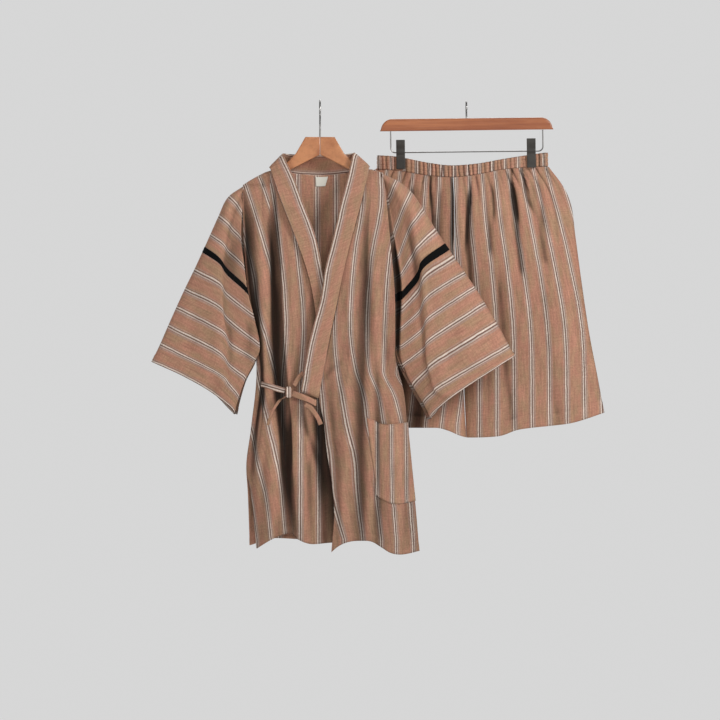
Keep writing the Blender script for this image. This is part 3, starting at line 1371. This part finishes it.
def wooden_slab(name, outline, thickness, bevel, centre, tilt, material, node):
    """A flat outline in X and Z with rounded edges."""
    curve = bpy.data.curves.new(name, "CURVE")
    curve.dimensions = "2D"
    curve.fill_mode = "BOTH"
    curve.extrude = (0.5 * thickness - bevel) * MM
    curve.bevel_depth = bevel * MM
    curve.bevel_resolution = 4
    curve.offset = -bevel * MM
    spline = curve.splines.new("POLY")
    spline.points.add(len(outline) - 1)
    for point, (x, z) in zip(spline.points, outline):
        point.co = (x * MM, z * MM, 0.0, 1.0)
    spline.use_cyclic_u = True
    curve.materials.append(material)
    obj = in_scene(name, curve)
    obj.rotation_euler = (math.radians(90), -tilt, 0.0)
    obj.location = [c * MM for c in centre]
    stand_for(obj, node)


def make_jacket_hanger():
    for side, turn, wood in (("right", 1, LIGHT_WOOD), ("left", -1, WOOD)):
        outline = [(turn * x, z) for x, z in JACKET_HANGER_OUTLINE][::-turn]
        node = f"jacket_hanger_{side}"
        wooden_slab(f"{side}_arm", outline, HANGER_THICKNESS, 2.2, (0, 0, 0), 0.0, wood, node)


def make_shorts_hanger():
    half, low = 0.5 * BAR_LENGTH, BAR_TOP - BAR_HEIGHT
    shoulder = arc((half - 26, BAR_TOP - 24), 24, 8, 84, 16)
    outline = [(-half, low), (half, low)] + shoulder + [(-x, z) for x, z in reversed(shoulder)]
    centre, tilt = (SHORTS_X, SHORTS_Y, 0.0), SHORTS_HANGER_TILT
    wooden_slab("clip_bar", outline, BAR_THICKNESS, 3.0, centre, tilt, BAR_WOOD, "shorts_hanger_bar")
    for side, x in zip(("left", "right"), CLIP_PLACES):
        for layer, turn in (("front", -1), ("back", 1)):
            make_jaw(f"jaw_{side}_{layer}", x, turn, f"clip_{side}_{layer}")


def make_jaw(name, x, turn, node):
    """One jaw: a plate that leans in to the band, with rounded edges."""
    drops = np.linspace(0.0, CLIP_HEIGHT, 40)
    across = np.linspace(-0.5 * CLIP_WIDTH, 0.5 * CLIP_WIDTH, 9)
    rows = zip(drops, turn * column(JAW_ROWS, 1, drops))
    points = np.array([[(x + a, y, CLIP_TOP - drop) for a in across] for drop, y in rows]) * MM
    mesh = bpy.data.meshes.new(name)
    mesh.from_pydata([tuple(p) for p in points.reshape(-1, 3)], [], grid_faces(len(drops), len(across)))
    mesh.materials.append(PLASTIC)
    mesh.shade_smooth()
    obj = in_scene(name, mesh)
    obj.location = (SHORTS_X * MM, SHORTS_Y * MM, 0.0)
    obj.rotation_euler.y = -SHORTS_HANGER_TILT
    add_wall(obj, CLIP_JAW)
    edge = obj.modifiers.new("rounded", "BEVEL")
    edge.width = 0.7 * MM
    edge.segments = 3
    edge.limit_method = "ANGLE"
    edge.angle_limit = math.radians(50)
    stand_for(obj, node)


# Shorts

GATHER_PITCH, RIB_PITCH = 12.0, 8.6


def gathers(s, below, span, seed):
    """Narrow troughs that start at the band, drift, widen and die out at different heights."""
    random = np.random.RandomState(seed)
    rise = np.zeros_like(below)
    count = int(round(span[0].mean() / GATHER_PITCH))
    for number in range(count):
        centre = (number + random.uniform(0.25, 0.75)) / count
        length = random.choice([26.0, 45.0, 70.0, 120.0]) * random.uniform(0.8, 1.25)
        height = random.uniform(1.3, 2.6) * (0.75 + length / 150.0)
        drift = random.uniform(-0.02, 0.02) * below / 150.0
        half_width = 2.6 + random.uniform(0.018, 0.034) * below
        off = (s - centre - drift) * span
        rise = rise - height * np.exp(-((off / half_width) ** 2)) * np.exp(-((below / length) ** 1.6))
    return rise


def shorts_sheet(side, back, seed):
    spec = shorts_panel(side, back)
    across = fractions(96)
    points = meet_band(panel_points(spec, across, fractions(150, 1.25)), spec["side"])
    x, z = points[..., 0].copy(), points[..., 2].copy()
    below = z[:1] - z
    span = np.broadcast_to((x[:, -1] - x[:, 0])[:, None], x.shape)
    s = np.broadcast_to(across, x.shape)
    rise = gathers(s, below, span, seed) * smooth_step(below / 5.0)
    rise = rise + (crease_rise(SHORTS_CREASES, x, z) + 1.1 * ripples(x, z, seed)) * smooth_step(below / 20.0)
    rise = rise * spec["sewn"](s * span, (1 - s) * span)
    rise = rise + hem_rise(z - z[-1:], SHORTS_HEM_WIDTH) * smooth_step(below / 40.0)
    points = pushed(points, rise, spec["side"])
    # The side seam and the inseam close on the middle plane, and the top goes up inside the band.
    from_edge = np.minimum(s, 1 - s) * span
    at_seam = np.exp(-((from_edge / 3.0) ** 2)) * smooth_step((8.0 - np.abs(points[..., 1])) / 4.0)
    points[..., 1] *= 1 - 0.9 * at_seam * smooth_step(below / 20.0)
    under_band = np.exp(-below / 3.0) * smooth_step(from_edge / 8.0)
    points[..., 2] += 4.0 * under_band
    points[..., 1] -= spec["side"] * 2.4 * under_band
    if side == "right":
        stripes, deeps = SHORTS_RIGHT_STRIPES, SHORTS_RIGHT_DEEPS
    else:
        stripes, deeps = SHORTS_LEFT_STRIPES, SHORTS_LEFT_DEEPS[back:]
    u, v = stripe_number(stripes, x, z), arc_length(points, 0) / REPEAT
    points[..., 1] += SHORTS_Y
    layer = "back" if back else "front"
    cloth_piece(f"leg_{layer}_{side}", points, u, v, CLOTH, STRIPED, f"shorts_{layer}_{side}",
                held="gathered", side=spec["side"], shade=shadow_in(deeps, x, z))


def make_waistband():
    """The elastic band: a flattened ring, drawn up into ribs with three stitched channels."""
    turns = np.radians(np.arange(0, 360, 0.375))
    x = BAND_MIDDLE + BAND_HALF * squared_off(np.cos(turns), 0.8)
    y = np.where(np.sin(turns) >= 0, 1.0, -1.0) * band_outline(x)
    top, low = column(SHORTS_WAIST, 1, x), column(SHORTS_WAIST, 2, x)
    f = np.linspace(0.0, 1.0, 30)[:, None]
    points = np.stack([x + 0 * f, y + 0 * f, top + (low - top) * f], axis=-1)
    round_band = arc_length(points, 1)
    waver = 2.4 * value_noise(round_band, f * 30.0 + 0 * x, 11.0, 40.0, 91)
    ribs = np.cos(2 * math.pi * (round_band + waver) / RIB_PITCH)
    strength = 0.75 + 0.45 * value_noise(round_band, 0 * round_band, 23.0, 9.0, 92)
    channels = sum(np.exp(-(((f - c) / 0.035) ** 2)) for c in (0.06, 0.36, 0.66, 0.95))
    free = 1.0 - sum(np.exp(-(((x - SHORTS_X - place) / 11.0) ** 6)) for place in CLIP_PLACES)
    rise = (1.9 * strength * ribs * (1 - 0.35 * channels) - 0.4 * channels) * free
    round_again = np.r_[-3:0, : len(turns), :3]
    front = np.sin(turns) < -0.3
    points = pushed(points[:, round_again], rise[:, round_again], -1, front[round_again])[:, 3:-3]
    u = (points[..., 0] - 328.0) / 26.0 + 0.06 * value_noise(round_band, 0 * round_band, 14.0, 9.0, 93)
    v = f * 0.7 + 0 * x
    points[..., 1] += SHORTS_Y
    cloth_piece("elastic_waist", points, u, v, BAND_CLOTH, STRIPED, "shorts_waistband", held="gathered",
                closed=True, columns=front, shade=free * (0.13 * strength * (1 - ribs) + 0.1 * channels))


def make_shorts():
    make_waistband()
    for seed, (side, back) in enumerate((("left", False), ("right", False), ("left", True), ("right", True))):
        shorts_sheet(side, back, 131 + 7 * seed)


# Studio


def make_stage():
    """A pale floor and backdrop, far enough away to take no shadow."""
    for name, location, turn, size in (
        ("floor", (0.08, -1.0, -1.9), 0.0, 12.0),
        ("backdrop", (0.08, 24.0, 0.0), math.radians(90), 130.0),
    ):
        bpy.ops.mesh.primitive_plane_add(size=size, location=location, rotation=(turn, 0.0, 0.0))
        plane = bpy.context.object
        plane.name = name
        paint = Graph(name, Roughness=0.9, Base_Color=(0.0, 0.0, 0.0, 1.0), Emission_Color=(*BACKDROP, 1.0),
                      Emission_Strength=1.0)
        plane.data.materials.append(paint.material)


def add_area(name, place, aim, size, power):
    data = bpy.data.lights.new(name, "AREA")
    data.shape = "DISK"
    data.size = size
    data.energy = power
    light = in_scene(name, data)
    light.location = place
    x, y, z = np.array(aim) - np.array(place)
    light.rotation_euler = (math.acos(-z / math.hypot(x, y, z)), 0.0, math.atan2(y, x) - math.pi / 2)
    return light


def make_lights():
    world = bpy.data.worlds.new("studio")
    bpy.context.scene.world = world
    world.use_nodes = True
    background = world.node_tree.nodes["Background"]
    background.inputs["Color"].default_value = (*BACKDROP, 1.0)
    background.inputs["Strength"].default_value = 0.36
    centre = (0.1, 0.0, -0.5)
    add_area("key", (2.3, -2.4, 1.2), centre, 1.1, 72.0)
    add_area("fill", (-2.2, -3.0, 0.2), centre, 2.2, 17.0)
    front = add_area("front", (0.2, -3.4, 0.1), (0.05, 0.0, -0.3), 1.2, 20.0)
    front.visible_glossy = False
    add_area("rear", (0.6, 1.9, 1.4), centre, 1.6, 22.0)


def make_camera():
    """Straight on, from far away, so that nothing is foreshortened."""
    data = bpy.data.cameras.new("camera")
    camera = in_scene("camera", data)
    data.sensor_width = 36.0
    data.lens = data.sensor_width * CAMERA_DISTANCE / VIEW_WIDTH
    data.clip_end = 100.0
    camera.location = (VIEW_CENTRE[0], -CAMERA_DISTANCE, VIEW_CENTRE[1])
    camera.rotation_euler = (math.radians(90), 0.0, 0.0)
    bpy.context.scene.camera = camera


def main():
    make_camera()
    make_body()
    make_collar()
    make_sleeve(
        "left", LEFT_SLEEVE_ROWS, LEFT_TAPE, LEFT_UNDERARM_ROW, LEFT_DEPTHS, front_and_back(LEFT_EDGES),
        LEFT_SLEEVE_STRIPES, LEFT_SLEEVE_CREASES, LEFT_VALLEY, 51,
    )
    make_sleeve(
        "right", RIGHT_SLEEVE_ROWS, RIGHT_TAPE, RIGHT_UNDERARM_ROW, RIGHT_DEPTHS, front_and_back(RIGHT_EDGES),
        RIGHT_SLEEVE_STRIPES, RIGHT_SLEEVE_CREASES, RIGHT_VALLEY, 61,
    )
    make_ties()
    make_label()
    make_jacket_hanger()
    make_shorts()
    make_shorts_hanger()
    for node in ("jacket_hook", "shorts_hanger_hook", "shorts_hanger_wire"):
        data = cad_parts[node].data
        data.materials.clear()
        data.materials.append(STEEL)
    make_stage()
    make_lights()
    bpy.context.scene.view_settings.view_transform = "Standard"


STRIPED = striped_cloth("striped_cotton")
CROSS_STRIPED = striped_cloth("striped_cotton_band", warp_along=False)
BLACK_TAPE = plain_cloth("black_tape", (0.003, 0.003, 0.003), 0.02)
LABEL_CLOTH = plain_cloth("label_cotton", (0.72, 0.7, 0.62), 0.05)
ARM_GRAIN = (16.0, 16.0, 70.0)
WOOD = varnished_wood("dark_arm_wood", (0.56, 0.235, 0.10), (0.36, 0.125, 0.05), ARM_GRAIN)
LIGHT_WOOD = varnished_wood("light_arm_wood", (0.64, 0.29, 0.125), (0.44, 0.17, 0.07), ARM_GRAIN)
BAR_WOOD = varnished_wood("bar_wood", (0.50, 0.185, 0.075), (0.32, 0.10, 0.04))
STEEL = drawn_steel("plated_steel")
PLASTIC = dark_plastic("dark_clip")
main()
